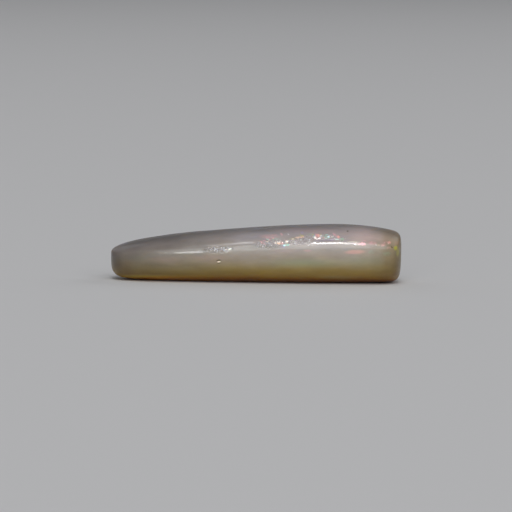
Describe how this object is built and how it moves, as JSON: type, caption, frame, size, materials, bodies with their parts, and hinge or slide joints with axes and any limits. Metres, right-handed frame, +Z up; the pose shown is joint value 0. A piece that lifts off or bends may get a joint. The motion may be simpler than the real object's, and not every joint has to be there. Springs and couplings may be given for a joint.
{
  "type": "polished opal stone",
  "caption": "Long polished opal stone, low domed above and below, blunt at both ends, milky with play of colour and an amber base.",
  "frame": {"origin": "centre of the bounding box on the resting plane, under the middle of the stone", "axes": "+X along the stone towards its thick blunt end, +Z up, and the front that the picture shows faces -Y"},
  "size_m": [0.02, 0.0072, 0.004],
  "materials": {
    "opal": "polished"
  },
  "bodies": {
    "root": {"opal_stone": "opal"}
  },
  "joints": []
}
